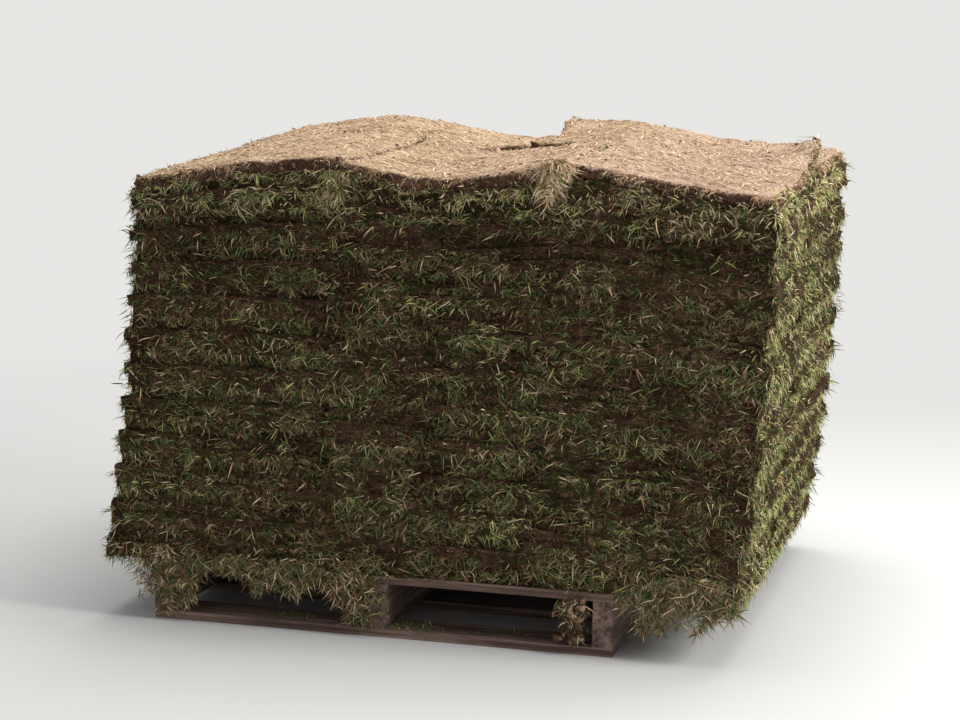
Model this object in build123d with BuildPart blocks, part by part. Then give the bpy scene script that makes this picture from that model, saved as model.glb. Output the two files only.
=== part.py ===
# A pallet of turf slabs, soil side up.
#
# Sod is cut in slabs of 16 by 24 inches and laid on a small wooden pallet, grass side
# down. Each layer holds five slabs: a row of three beside a row of two turned a quarter
# turn. The next layer is turned half round, so that its joints cross those below.
#
# Millimetres. +X runs along the front, -Y faces the front and +Z is up. The origin is on
# the floor, under the middle of the stack.

from build123d import *
from math import ceil, exp, floor, hypot, pi, sin
import os

os.makedirs("parts", exist_ok=True)

# One turf slab, as the cutter leaves it
slab_width = 406.0
slab_length = 610.0
slab_thickness = 22.3

# The stack
layer_count = 34
layer_gap = 0.3  # a slab lies on the one below and is not joined to it
slab_joint = 8.0  # open joint between two slabs of a layer
outer_jog = 7.0  # how far an outer edge stands in or out of line
joint_jog = 2.0  # the same at the joints
bend_step = 70.0  # spacing of the lines that the slabs of every layer bend on
least_bend = 1.0  # no slab bends nearer to its edge than this

# The pallet: stringers run front to back, boards run left to right
pallet_width = 914.0
pallet_depth = 1016.0
pallet_overhang = 40.0  # how far the stack hangs over the pallet's left end
stringer_width = 38.0
stringer_height = 89.0
board_thickness = 16.0
lead_board_width = 140.0
inner_board_width = 89.0
bottom_board_width = 89.0
deck_inner_boards = 5
bottom_inner_boards = 3

# How the stack has settled
sag_rate = 3.2e-6  # drop past the pallet's end, for each cubic millimetre of overhang
ripple_height = 2.2
ripple_length = 530.0
ripple_turn = 0.35  # how far the ripple moves from one layer to the next, in radians
crown_first_layer = 16  # the slabs lie level up to here, and then follow the crown
crown_growth = 1.5

# Broad humps of the top along its front edge and its back edge: (across, rise, spread)
front_humps = [(-640, -30, 140), (-290, 18, 150), (-20, -8, 90), (240, 24, 120), (640, -22, 140)]
back_humps = [(-640, 12, 140), (-400, 50, 160), (-200, 14, 100), (180, 45, 170), (480, 12, 120)]

# How far each layer is shifted to the right: (layer, shift), in a straight line between
lean = [(0, -56), (4, -42), (9, -28), (14, -17), (26, 0), (34, 0)]

# Corners of the top slabs that have dried and curled up, slab by slab, the front row
# first: (right or left, back or front, rise, reach), where right and back are 1
curls = [
    [(1, 0, 12, 170), (1, 1, 14, 200)],
    [(0, 0, 8, 150), (1, 0, 6, 120), (0, 1, 14, 200)],
    [(0, 0, 12, 170), (1, 1, 64, 330)],
    [(1, 0, 14, 260)],
    [(0, 0, 20, 250), (0, 1, 48, 330)],
]
curl_clearance = 0.3  # keeps a curling slab clear of the layer that it leaves
top_stations = 7  # cross-sections in a top slab

# Places worked out from the sizes
pitch = slab_thickness + layer_gap
stack_width = 3 * slab_width + 2 * slab_joint
stack_depth = slab_length + slab_width + slab_joint
deck_top = 2 * board_thickness + stringer_height
pallet_left = -stack_width / 2 + pallet_overhang
pallet_right = pallet_left + pallet_width


def between(points, at):
    """The value at a place on the straight lines that join a list of points."""
    for (x0, z0), (x1, z1) in zip(points, points[1:]):
        if at <= x1:
            return z0 + (z1 - z0) * (at - x0) / (x1 - x0)
    return points[-1][1]


def over_humps(humps, x):
    """Height of a row of humps at a place across the stack."""
    return sum(rise * exp(-(((x - place) / spread) ** 2)) for place, rise, spread in humps)


def surface(level, x, y):
    """Height of the top of a number of layers, at a place across and along the stack."""
    share = level / layer_count
    grown = max(0.0, (level - crown_first_layer) / (layer_count - crown_first_layer))
    back = y / stack_depth + 0.5
    crown = over_humps(front_humps, x) * (1 - back) + over_humps(back_humps, x) * back
    past = max(0.0, x - pallet_right, pallet_left - x)
    sag = sag_rate * past**3 * (1 - share)
    ripple = ripple_height * sin(pi * share)
    ripple *= sin(2 * pi * x / ripple_length + ripple_turn * level)
    return deck_top + pitch * level + crown * grown**crown_growth - sag + ripple


def nested(level, x, y):
    """The same height, straight from one bend line to the next, so that layers nest."""
    line = floor(x / bend_step)
    part = x / bend_step - line
    low = surface(level, line * bend_step, y)
    high = surface(level, (line + 1) * bend_step, y)
    return low + (high - low) * part


def jog(layer, number, most):
    """How far one edge of one slab stands out of line."""
    return most * sin(2.4 * (7 * layer + number))


def slab_edges(layer):
    """Yields the low and high edges, across and along, of a layer's five slabs."""
    shift = between(lean, layer)
    three_in_front = (layer_count - layer) % 2 == 1
    depths = (slab_length, slab_width) if three_in_front else (slab_width, slab_length)
    y = -stack_depth / 2
    number = 0
    for row, depth in enumerate(depths):
        count = 3 if depth == slab_length else 2
        width = (stack_width - (count - 1) * slab_joint) / count
        for place in range(count):
            x = shift - stack_width / 2 + place * (width + slab_joint)
            x_low = x + jog(layer, number, joint_jog if place else outer_jog)
            inner = place < count - 1
            x_high = x + width + jog(layer, number + 1, joint_jog if inner else outer_jog)
            y_low = y + jog(layer, number + 2, joint_jog if row else outer_jog)
            y_high = y + depth + jog(layer, number + 3, outer_jog if row else joint_jog)
            yield x_low, x_high, y_low, y_high
            number += 4
        y += depth + slab_joint


def spaced(low, high, count):
    """Evenly spaced places from low to high."""
    return [low + (high - low) * n / (count - 1) for n in range(count)]


def bends(x_low, x_high):
    """The places across a slab where its section turns: its edges and its bend lines."""
    first = ceil((x_low + least_bend) / bend_step)
    last = floor((x_high - least_bend) / bend_step)
    return [x_low, *[n * bend_step for n in range(first, last + 1)], x_high]


def slab_section(xs, y, level, lift):
    """A slab's cross-section at y, raised by lift(x, y) off its seat."""
    under = [(x, nested(level, x, y) + layer_gap + lift(x, y)) for x in xs]
    over = [(x, nested(level + 1, x, y) + lift(x, y)) for x in xs]
    with BuildSketch(Plane.XZ.offset(-y)) as section:
        with BuildLine():
            Polyline(*under, *reversed(over), close=True)
        make_face()
    return section.sketch


def lies_flat(x, y):
    """The lift of a slab that lies on its seat all over."""
    return 0.0


# The layers under the top one, each of five slabs
for layer in range(layer_count - 1):
    with BuildPart() as turf_layer:
        for x_low, x_high, y_low, y_high in slab_edges(layer):
            xs = bends(x_low, x_high)
            loft([slab_section(xs, y, layer, lies_flat) for y in (y_low, y_high)], ruled=True)
    turf_layer.part.label = f"turf_layer_{layer + 1:02d}"
    export_step(turf_layer.part, f"parts/turf_layer_{layer + 1:02d}.step")

# The top layer, whose slabs have curled corners
top = layer_count - 1
with BuildPart() as top_layer:
    for (x_low, x_high, y_low, y_high), corners in zip(slab_edges(top), curls):

        def curled(x, y):
            """The lift of a slab at a place near its curled corners."""
            lift = curl_clearance
            for right, back, rise, reach in corners:
                away = hypot(x - (x_high if right else x_low), y - (y_high if back else y_low))
                lift += rise * max(0.0, 1 - away / reach) ** 3
            return lift

        xs = bends(x_low, x_high)
        ys = spaced(y_low, y_high, top_stations)
        loft([slab_section(xs, y, top, curled) for y in ys], ruled=True)
top_layer.part.label = f"turf_layer_{layer_count:02d}"
export_step(top_layer.part, f"parts/turf_layer_{layer_count:02d}.step")


def board(low, size, name):
    """One piece of sawn timber, from its lowest corner and its three sizes."""
    with BuildPart() as timber:
        with BuildSketch(Plane.XY.offset(low[2])):
            with Locations((low[0], low[1])):
                Rectangle(size[0], size[1], align=(Align.MIN, Align.MIN))
        extrude(amount=size[2])
    timber.part.label = name
    export_step(timber.part, f"parts/{name}.step")


# Stringers
stringer_places = spaced(pallet_left, pallet_right - stringer_width, 3)
for side, x in zip(("left", "middle", "right"), stringer_places):
    low = (x, -pallet_depth / 2, board_thickness)
    board(low, (stringer_width, pallet_depth, stringer_height), f"stringer_{side}")


def board_places(lead_width, inner_width, inner_count):
    """Yields the front edge and width of each board of a deck, evenly spaced."""
    free = pallet_depth - 2 * lead_width - inner_count * inner_width
    opening = free / (inner_count + 1)
    y = -pallet_depth / 2
    for width in (lead_width, *[inner_width] * inner_count, lead_width):
        yield y, width
        y += width + opening


# Top deck
top_boards = board_places(lead_board_width, inner_board_width, deck_inner_boards)
for n, (y, width) in enumerate(top_boards, start=1):
    low = (pallet_left, y, board_thickness + stringer_height)
    board(low, (pallet_width, width, board_thickness), f"deck_board_{n}")

# Bottom boards
bottom_boards = board_places(bottom_board_width, bottom_board_width, bottom_inner_boards)
for n, (y, width) in enumerate(bottom_boards, start=1):
    low = (pallet_left, y, 0)
    board(low, (pallet_width, width, board_thickness), f"bottom_board_{n}")
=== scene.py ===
# %% [markdown]
# # A pallet of turf slabs
#
# Sod farms cut grass in slabs, earth and all, and lay them on a small wooden pallet with
# the grass side down. What shows is a light, dry top of earth and roots, four shaggy sides
# where the grass of every slab is squeezed out of its joint, and a little of the pallet.
# This lesson dresses the plain CAD model of such a stack. The CAD gives every size, so the
# work here is all finish: torn edges, blades, roots, crumbs and materials.

# %% [markdown]
# ## The frame
#
# It stays as it is: a board keeps its mesh and gets a better material, and a slab is
# hidden and replaced by a piece modelled over it.

from math import cos, pi, radians, sin

import bmesh
import bpy
import numpy as np
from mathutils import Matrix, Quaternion, Vector, noise
from mathutils.bvhtree import BVHTree


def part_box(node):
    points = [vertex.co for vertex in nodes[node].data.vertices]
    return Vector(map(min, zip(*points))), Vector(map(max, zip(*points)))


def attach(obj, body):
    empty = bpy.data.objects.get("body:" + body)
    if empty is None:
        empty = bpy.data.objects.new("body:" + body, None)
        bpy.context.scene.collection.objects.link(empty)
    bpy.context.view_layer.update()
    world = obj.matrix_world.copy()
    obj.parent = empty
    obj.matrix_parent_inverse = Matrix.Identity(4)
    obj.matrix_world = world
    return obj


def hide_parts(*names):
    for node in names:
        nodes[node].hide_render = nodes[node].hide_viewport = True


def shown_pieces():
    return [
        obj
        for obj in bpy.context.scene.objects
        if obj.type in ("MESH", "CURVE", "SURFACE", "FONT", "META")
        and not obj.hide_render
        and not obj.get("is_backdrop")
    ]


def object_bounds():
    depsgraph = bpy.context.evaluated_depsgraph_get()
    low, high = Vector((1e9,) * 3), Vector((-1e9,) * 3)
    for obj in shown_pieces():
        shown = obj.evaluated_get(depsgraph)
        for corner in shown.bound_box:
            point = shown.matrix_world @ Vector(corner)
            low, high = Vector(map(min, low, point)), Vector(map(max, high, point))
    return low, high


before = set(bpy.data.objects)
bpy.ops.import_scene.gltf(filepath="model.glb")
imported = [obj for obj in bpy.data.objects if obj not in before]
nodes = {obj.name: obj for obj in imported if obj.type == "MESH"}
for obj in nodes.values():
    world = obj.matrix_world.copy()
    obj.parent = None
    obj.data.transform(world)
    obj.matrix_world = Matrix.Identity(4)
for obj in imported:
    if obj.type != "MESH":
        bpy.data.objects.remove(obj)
cad_low, cad_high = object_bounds()
layer_names = sorted(name for name in nodes if name.startswith("turf_layer_"))
board_names = sorted(name for name in nodes if name not in layer_names)
millimetre = 0.001
print(len(layer_names), "layers,", len(board_names), "pieces of timber")

# %% [markdown]
# ## Small helpers
#
# An operator works on all that is selected, so each step starts by selecting one object.
# `finish_piece` does what every finished piece needs: its material and its body.


# %% Helpers for objects
def select_only(piece):
    """Makes a piece the only selected and the active object."""
    if bpy.context.mode != "OBJECT":
        bpy.ops.object.mode_set(mode="OBJECT")
    bpy.ops.object.select_all(action="DESELECT")
    piece.select_set(True)
    bpy.context.view_layer.objects.active = piece


def edit(piece, elements="VERT"):
    """Opens a piece in edit mode, with all of it selected."""
    select_only(piece)
    bpy.ops.object.mode_set(mode="EDIT")
    bpy.ops.mesh.select_mode(type=elements)
    bpy.ops.mesh.select_all(action="SELECT")


def new_object(name, data):
    """An object for a mesh, a lamp or a camera, in the scene."""
    holder = bpy.data.objects.new(name, data)
    bpy.context.scene.collection.objects.link(holder)
    return holder


def give_material(piece, material):
    """Makes a material the piece's only one."""
    piece.data.materials.clear()
    piece.data.materials.append(material)


def finish_piece(piece, slot, material, *replaced):
    """Gives a piece its material, puts it in the root body and hides the CAD parts it replaces."""
    give_material(piece, material)
    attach(piece, "root")
    if replaced:
        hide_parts(*replaced)
    return piece


def triangles(piece):
    """How many triangles a mesh has."""
    piece.data.calc_loop_triangles()
    return len(piece.data.loop_triangles)


# %% [markdown]
# ## Materials: short names for nodes
#
# A material is a tree of nodes. Every node is made in the same way: it is added, its
# settings are chosen, and each of its inputs gets a number, a colour or a link. One helper
# does that, and short ones on top of it stand for the nodes that are used most.


# %% Helpers for nodes
def feed(tree, socket, value):
    """Sets a socket to a number, a list or a colour, or links another socket to it."""
    if isinstance(value, tuple):
        socket.default_value = (*value, 1)
    elif isinstance(value, (int, float, list)):
        socket.default_value = value
    else:
        tree.links.new(value, socket)


def add_node(tree, kind, inputs, **settings):
    """A shader node with its settings, and with its inputs fed by name or by number."""
    node = tree.nodes.new("ShaderNode" + kind)
    for name, value in settings.items():
        setattr(node, name, value)
    for name, value in inputs.items():
        feed(tree, node.inputs[name], value)
    return node


def noise_node(tree, vector, scale, detail, rough):
    """A noise texture on a vector."""
    inputs = {"Vector": vector, "Scale": scale, "Detail": detail, "Roughness": rough}
    return add_node(tree, "TexNoise", inputs).outputs["Fac"]


def math_node(tree, operation, *values):
    """A Math node. Each value is a number or a socket."""
    return add_node(tree, "Math", dict(enumerate(values)), operation=operation).outputs[0]


def stretched(tree, value, low, high):
    """A value spread so that low becomes 0 and high becomes 1."""
    inputs = {"Value": value, "From Min": low, "From Max": high}
    return add_node(tree, "MapRange", inputs).outputs["Result"]


# %% [markdown]
# ## Materials: one mottle for everything that is earthy
#
# Earth is never one colour. The same crumbly mottle is in the dry tops, in the dark cut
# edges and in the dirt on the pallet, so it is a node group: it is built once and put in
# each material with its own scale. It gives a coarse mask, a fine mask and a height.


# %% The mottle of earth
def new_group(name, inputs, outputs):
    """A shader node group with named inputs and outputs. One called Vector is a vector, and
    the others are numbers."""
    group = bpy.data.node_groups.new(name, "ShaderNodeTree")
    for in_out, titles in (("INPUT", inputs), ("OUTPUT", outputs)):
        for title in titles:
            kind = "NodeSocketVector" if title == "Vector" else "NodeSocketFloat"
            group.interface.new_socket(name=title, in_out=in_out, socket_type=kind)
    return group, group.nodes.new("NodeGroupInput"), group.nodes.new("NodeGroupOutput")


def build_earth_mottle():
    """The node group that gives earthy surfaces their patches, crumbs and height."""
    group, given, out = new_group(
        "earth_mottle", ("Vector", "Patch Scale", "Crumb Scale"), ("Patches", "Crumbs", "Height")
    )
    place = given.outputs["Vector"]
    patch = noise_node(group, place, given.outputs["Patch Scale"], 5, 0.62)
    crumb = noise_node(group, place, given.outputs["Crumb Scale"], 6, 0.72)
    feed(group, out.inputs["Patches"], stretched(group, patch, 0.34, 0.66))
    feed(group, out.inputs["Crumbs"], stretched(group, crumb, 0.36, 0.66))
    height = math_node(group, "ADD", math_node(group, "MULTIPLY", patch, 0.6), crumb)
    feed(group, out.inputs["Height"], height)
    return group


earth_mottle = build_earth_mottle()
print("group", earth_mottle.name, "has", len(earth_mottle.nodes), "nodes")

# %% [markdown]
# A whole material needs a few helpers more: its shader, a ramp that turns a number into a
# colour, a mix of two colours, a group with its inputs filled in, and a bump.


# %% Helpers for a whole material
def new_material(name, roughness, shine=0.5):
    """A material, its node tree and its Principled BSDF. Crumbly things have little shine."""
    material = bpy.data.materials.new(name)
    material.use_nodes = True
    shader = material.node_tree.nodes["Principled BSDF"]
    shader.inputs["Roughness"].default_value = roughness
    shader.inputs["Specular IOR Level"].default_value = shine
    return material, material.node_tree, shader


def ramp_node(tree, value, stops):
    """A colour ramp with (place, colour) stops."""
    node = add_node(tree, "ValToRGB", {"Fac": value})
    elements = node.color_ramp.elements
    elements[0].position, elements[1].position = stops[0][0], stops[-1][0]
    for place, _ in stops[1:-1]:
        elements.new(place)
    for element, (_, colour) in zip(elements, stops):
        element.color = (*colour, 1)
    return node.outputs["Color"]


def mixed(tree, share, first, second, blend="MIX"):
    """A Mix node for colours. Each of the three is a socket, or a number or colour."""
    inputs = {0: share, 6: first, 7: second}
    return add_node(tree, "Mix", inputs, data_type="RGBA", blend_type=blend).outputs[2]


def group_node(tree, group, **values):
    """The outputs of a node group in a tree, with each named input set or linked."""
    inputs = {title.replace("_", " "): value for title, value in values.items()}
    return add_node(tree, "Group", inputs, node_tree=group).outputs


def bump(tree, shader, height, distance):
    """Feeds a height into the shader's normal."""
    node = add_node(tree, "Bump", {"Height": height, "Distance": distance})
    feed(tree, shader.inputs["Normal"], node.outputs["Normal"])


# %% [markdown]
# A pattern reads a place. Object coordinates stay with the piece wherever it goes. A noise
# that is scaled more along one axis than along another turns into lines or grain, and a
# turned one runs aslant.


# %% Places that patterns read
def mapped(tree, vector, scale, turn=(0, 0, 0)):
    """A vector turned and then scaled. A Mapping node of the Texture type turns first, so a
    noise that is stretched by the scale can run any way."""
    inputs = {"Vector": vector, "Scale": [1 / size for size in scale], "Rotation": list(turn)}
    return add_node(tree, "Mapping", inputs, vector_type="TEXTURE").outputs["Vector"]


def scaled_noise(tree, vector, scale, detail, rough, turn=(0, 0, 0)):
    """A noise that is scaled along each axis on its own."""
    return noise_node(tree, mapped(tree, vector, scale, turn), 1.0, detail, rough)


def object_place(tree, scale=(1, 1, 1)):
    """Object coordinates, scaled."""
    return mapped(tree, add_node(tree, "TexCoord", {}).outputs["Object"], scale)


def parts_of(tree, vector):
    """The X, Y and Z of a vector."""
    return add_node(tree, "SeparateXYZ", {"Vector": vector}).outputs


def wall_place(tree):
    """Coordinates that lie on the upright sides of the stack: along the wall, and up."""
    parts = parts_of(tree, add_node(tree, "TexCoord", {}).outputs["Object"])
    along = math_node(tree, "ADD", parts["X"], parts["Y"])
    return add_node(tree, "CombineXYZ", {"X": along, "Z": parts["Z"]}).outputs["Vector"]


# %% [markdown]
# ## Materials: earth and roots
#
# The top of the stack dries to a straw and pink tan while every cut edge stays brown and damp, and the
# light top and the dark cut edges are partly painted light too: sunlit earth on top, earth in shade at the
# sides. Each earth is a ramp, from the dark pits between the crumbs to the dry crumbs, and the ramp is
# darkest where the crumbs' height is lowest, so the pits hold painted shade.


# %% Tones of the earths
pink_earth = [
    (0.0, (0.17, 0.100, 0.068)),
    (0.35, (0.42, 0.270, 0.190)),
    (0.7, (0.66, 0.450, 0.330)),
    (1.0, (0.86, 0.650, 0.495)),
]
straw_earth = [
    (0.0, (0.16, 0.085, 0.045)),
    (0.35, (0.47, 0.300, 0.175)),
    (0.7, (0.77, 0.540, 0.345)),
    (1.0, (0.94, 0.740, 0.490)),
]
rusty_earth = [
    (0.0, (0.024, 0.012, 0.008)),
    (0.4, (0.110, 0.050, 0.031)),
    (0.75, (0.215, 0.108, 0.068)),
    (1.0, (0.340, 0.200, 0.130)),
]
damp_earth = [
    (0.0, (0.016, 0.008, 0.005)),
    (0.4, (0.055, 0.029, 0.018)),
    (0.75, (0.115, 0.066, 0.042)),
    (1.0, (0.220, 0.140, 0.090)),
]
# The matted tones at 0, 0.28, 0.55 and 0.75 are darkened as painted shade of the deep grass over the wall.
matted_tones = [
    (0.00, (0.048, 0.021, 0.012)),
    (0.28, (0.125, 0.062, 0.035)),
    (0.42, (0.360, 0.235, 0.130)),
    (0.55, (0.092, 0.084, 0.032)),
    (0.75, (0.034, 0.052, 0.015)),
    (1.00, (0.140, 0.190, 0.045)),
]
pale_root, brown_stain = (0.86, 0.66, 0.43), (0.24, 0.130, 0.068)
turns_on_top = ((0, 0, 15), (0, 0, 75), (0, 0, 135))
turns_on_wall = ((0, 12, 0), (0, 68, 0), (0, -38, 0), (0, 105, 0), (0, -8, 0))


# %% [markdown]
# The sides are felted over with fibres that are finer than any blade worth modelling, so they are lines of
# noise: each set of lines is a noise stretched one way. On the top slabs, the direction that the surface
# faces mixes dry with damp earth, so a torn rim goes from light to dark by itself; this is partly painted
# light, the face-up earth as light as sunlit earth and the upright rim as dark as earth in shade. The
# lines and a bump of crumbs give the relief.


# %% Parts of the earth materials
def fibre_lines(tree, place, turns, scale):
    """Thin lines that run every way: noises, each stretched along its own direction."""
    lines = None
    for turn in turns:
        run = scaled_noise(tree, place, scale, 2.0, 0.5, [radians(angle) for angle in turn])
        line = stretched(tree, run, 0.54, 0.66)
        lines = line if lines is None else math_node(tree, "MAXIMUM", lines, line)
    return lines


def earth_parts(tree, place):
    """Crumbs, patches and height of the mottle, and the blend that picks an earth's colour. The blend is
    low where the height is low, so the pits get painted shade.
    """
    mottle = group_node(tree, earth_mottle, Vector=place, Patch_Scale=9.0, Crumb_Scale=130.0)
    crumbs, patches = mottle["Crumbs"], mottle["Patches"]
    # The blend reads the same noises as the height, so the earth is darkest in its pits: painted shade.
    blend = math_node(tree, "MULTIPLY_ADD", patches, 0.45, math_node(tree, "MULTIPLY", crumbs, 0.55))
    return crumbs, patches, mottle["Height"], blend


def dry_colour(tree, place, blend, patches, lines):
    """Straw-coloured earth that turns pink towards the right, with pale roots and stains."""
    wander = math_node(tree, "MULTIPLY_ADD", patches, 0.35, parts_of(tree, place)["X"])
    pinkness = stretched(tree, wander, 0.20, 0.50)
    dry = mixed(tree, pinkness, ramp_node(tree, blend, straw_earth), ramp_node(tree, blend, pink_earth))
    dry = mixed(tree, math_node(tree, "MULTIPLY", lines, 0.7), dry, pale_root)
    stains = scaled_noise(tree, place, (13, 22, 13), 5.0, 0.65)
    stained = math_node(tree, "MULTIPLY", stretched(tree, stains, 0.50, 0.68), 0.5)
    return mixed(tree, stained, dry, brown_stain)


def facing_up(tree, crumbs):
    """1 where a surface faces up, 0 where it stands upright, with a ragged border."""
    normal = add_node(tree, "NewGeometry", {}).outputs["Normal"]
    ragged = math_node(tree, "MULTIPLY_ADD", crumbs, 0.35, parts_of(tree, normal)["Z"])
    return stretched(tree, ragged, 0.45, 0.95)


# %% [markdown]
# From these parts come the two materials of the slabs: one for the top ones and one for the
# cut sides of all the others.


# %% The two materials of the slabs
def build_turf_earth():
    """The top slabs: dry and light where they face up, rusty brown and dark on their cut edges, which is
    partly painted sunlight on top and painted shade on the edges.
    """
    material, tree, shader = new_material("turf_earth", 0.95, 0.2)
    place = object_place(tree)
    crumbs, patches, height, blend = earth_parts(tree, place)
    lines = fibre_lines(tree, place, turns_on_top, (26, 260, 26))
    dry = dry_colour(tree, place, blend, patches, lines)
    # Face-up earth gets the light dry colour and upright earth the dark rusty one: partly drying, partly
    # painted sunlight on top and painted shade on the cut edges.
    colour = mixed(tree, facing_up(tree, crumbs), ramp_node(tree, blend, rusty_earth), dry)
    feed(tree, shader.inputs["Base Color"], colour)
    bump(tree, shader, math_node(tree, "MULTIPLY_ADD", lines, 0.8, height), 6 * millimetre)
    return material


def build_matted_wall():
    """The cut sides of the stack: damp earth under a mat of dead and green fibres, whose dark tones are
    partly painted shade of the grass over them.
    """
    material, tree, shader = new_material("matted_wall", 0.9, 0.05)
    _, _, height, blend = earth_parts(tree, object_place(tree))
    wall = wall_place(tree)
    lines = fibre_lines(tree, wall, turns_on_wall, (60, 1, 430))
    fine = scaled_noise(tree, wall, (40, 1, 90), 4.0, 0.65)
    broad = scaled_noise(tree, wall, (9, 1, 30), 2.0, 0.5)
    tone = stretched(tree, math_node(tree, "ADD", fine, broad), 0.78, 1.22)
    grown = stretched(tree, scaled_noise(tree, wall, (6, 1, 24), 4.0, 0.6), 0.36, 0.56)
    cover = math_node(tree, "MULTIPLY", lines, math_node(tree, "MULTIPLY_ADD", grown, 0.65, 0.35))
    colour = mixed(tree, cover, ramp_node(tree, blend, damp_earth), ramp_node(tree, tone, matted_tones))
    feed(tree, shader.inputs["Base Color"], colour)
    bump(tree, shader, math_node(tree, "MULTIPLY_ADD", lines, 0.7, height), 7 * millimetre)
    return material


turf_earth = build_turf_earth()
matted_wall = build_matted_wall()
print("materials", turf_earth.name, "and", matted_wall.name)

# %% [markdown]
# ## Materials: blades and roots
#
# Hundreds of thousands of strands share one material. The colour can't come from the place,
# because neighbours differ, and it can't come from the object, because all are in one mesh.
# So each strand carries its own colour in its UV map: U is its tone, from dead to fresh,
# and V runs from its root to its tip. A ramp over U holds all the tones of the turf.

# %% Tones of the strands
strand_map = "OFBake"
blade_tones = [
    (0.00, (0.080, 0.036, 0.020)),
    (0.12, (0.200, 0.105, 0.058)),
    (0.26, (0.300, 0.190, 0.095)),
    (0.38, (0.760, 0.610, 0.390)),
    (0.50, (0.190, 0.165, 0.055)),
    (0.66, (0.036, 0.064, 0.018)),
    (0.82, (0.115, 0.180, 0.048)),
    (1.00, (0.560, 0.560, 0.190)),
]
root_tones = [
    (0.0, (0.30, 0.17, 0.095)),
    (0.5, (0.62, 0.42, 0.25)),
    (1.0, (0.88, 0.69, 0.47)),
]
crumb_tones = [
    (0.0, (0.020, 0.012, 0.008)),
    (0.5, (0.110, 0.068, 0.043)),
    (0.6, (0.340, 0.220, 0.145)),
    (1.0, (0.680, 0.480, 0.330)),
]


# %% [markdown]
# A small group reads the tone, and one recipe makes blades and roots: a strand is darker at
# its root, where its neighbours shade it, and drier at its tip.


# %% Blades, roots and crumbs
def build_strand_tone():
    """The node group that reads a strand's tone and how far along it a point is."""
    group, _, out = new_group("strand_tone", (), ("Tone", "Along"))
    parts = parts_of(group, add_node(group, "UVMap", {}, uv_map=strand_map).outputs["UV"])
    feed(group, out.inputs["Tone"], parts["X"])
    feed(group, out.inputs["Along"], parts["Y"])
    return group


strand_tone = build_strand_tone()


def build_strand(name, tones, root_shade, tip_colour, roughness):
    """A strand's material: darker at its root and drier at its tip."""
    material, tree, shader = new_material(name, roughness, 0.25)
    strand = group_node(tree, strand_tone)
    dry_tip = math_node(tree, "MULTIPLY", stretched(tree, strand["Along"], 0.6, 1.1), 0.4)
    colour = mixed(tree, dry_tip, ramp_node(tree, strand["Tone"], tones), tip_colour)
    at_root = math_node(tree, "MULTIPLY", stretched(tree, strand["Along"], 0.45, 0.0), 0.8)
    feed(tree, shader.inputs["Base Color"], mixed(tree, at_root, colour, root_shade, "MULTIPLY"))
    return material


grass_blade = build_strand("grass_blade", blade_tones, (0.34, 0.26, 0.19), (0.46, 0.37, 0.20), 0.65)
root_fibre = build_strand("root_fibre", root_tones, (0.75, 0.65, 0.55), (0.80, 0.62, 0.42), 0.8)


def build_crumb():
    """Crumbs of earth, damp at the low tones and dry at the high ones."""
    material, tree, shader = new_material("earth_crumb", 0.95, 0.05)
    tone = group_node(tree, strand_tone)["Tone"]
    feed(tree, shader.inputs["Base Color"], ramp_node(tree, tone, crumb_tones))
    return material


earth_crumb = build_crumb()
print("materials", grass_blade.name, root_fibre.name, earth_crumb.name)

# %% [markdown]
# ## Materials: weathered softwood
#
# Pallet boards are sawn rough, go grey-brown outdoors and pick up mud. Grain follows the
# tree, so it is noise stretched along the board: boards run across the pallet and
# stringers run along it, which makes two materials from one recipe.


# %% Timber
wood_tones = [
    (0.00, (0.050, 0.028, 0.021)),
    (0.45, (0.150, 0.092, 0.072)),
    (1.00, (0.310, 0.215, 0.175)),
]
wet_mud = (0.060, 0.036, 0.024)


def build_pallet_wood(name, grain_scale):
    """Weathered, muddy softwood. grain_scale is how fine the grain is along X, Y and Z."""
    material, tree, shader = new_material(name, 0.85)
    grain = noise_node(tree, object_place(tree, grain_scale), 1.0, 6.0, 0.62)
    wood = ramp_node(tree, stretched(tree, grain, 0.36, 0.64), wood_tones)
    place = object_place(tree)
    mottle = group_node(tree, earth_mottle, Vector=place, Patch_Scale=14.0, Crumb_Scale=220.0)
    mud = math_node(tree, "MULTIPLY", mottle["Patches"], mottle["Crumbs"])
    wood = mixed(tree, math_node(tree, "MULTIPLY", mud, 0.75), wood, wet_mud)
    feed(tree, shader.inputs["Base Color"], wood)
    relief = math_node(tree, "MULTIPLY_ADD", mottle["Height"], 0.3, grain)
    bump(tree, shader, relief, 1.8 * millimetre)
    return material


board_wood = build_pallet_wood("board_wood", (3.0, 90.0, 90.0))
stringer_wood = build_pallet_wood("stringer_wood", (90.0, 3.0, 90.0))
for name in board_names:
    give_material(nodes[name], stringer_wood if name.startswith("stringer") else board_wood)
print("timber finished:", ", ".join(board_names))

# %% [markdown]
# ## The slabs under the top one
#
# Only the cut edges of these slabs show, behind the grass. So a copy of the CAD layer keeps
# its broad faces, and only its outer rim is cut finer and roughened. The CAD mesh comes as
# loose triangles, which have to be merged before the rim is one strip of faces.

# %% Copies of the layers
rim_reach = 30 * millimetre
rim_step = 13 * millimetre
rim_rows = 3
flat_from, upright_below = 0.7, 0.3  # the Z of the normal of a broad face, and of a side


def nearest_side(point, low, high):
    """How far the nearest side of its layer is from a point, and the level way to it."""
    gaps = (high.y - point.y, point.y - low.y, high.x - point.x, point.x - low.x)
    ways = ((0, 1, 0), (0, -1, 0), (1, 0, 0), (-1, 0, 0))
    return min(zip(gaps, ways), key=lambda pair: pair[0])


def near_outline(point, low, high):
    """True if a point is near the outer outline of its layer."""
    return nearest_side(point, low, high)[0] < rim_reach


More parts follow.
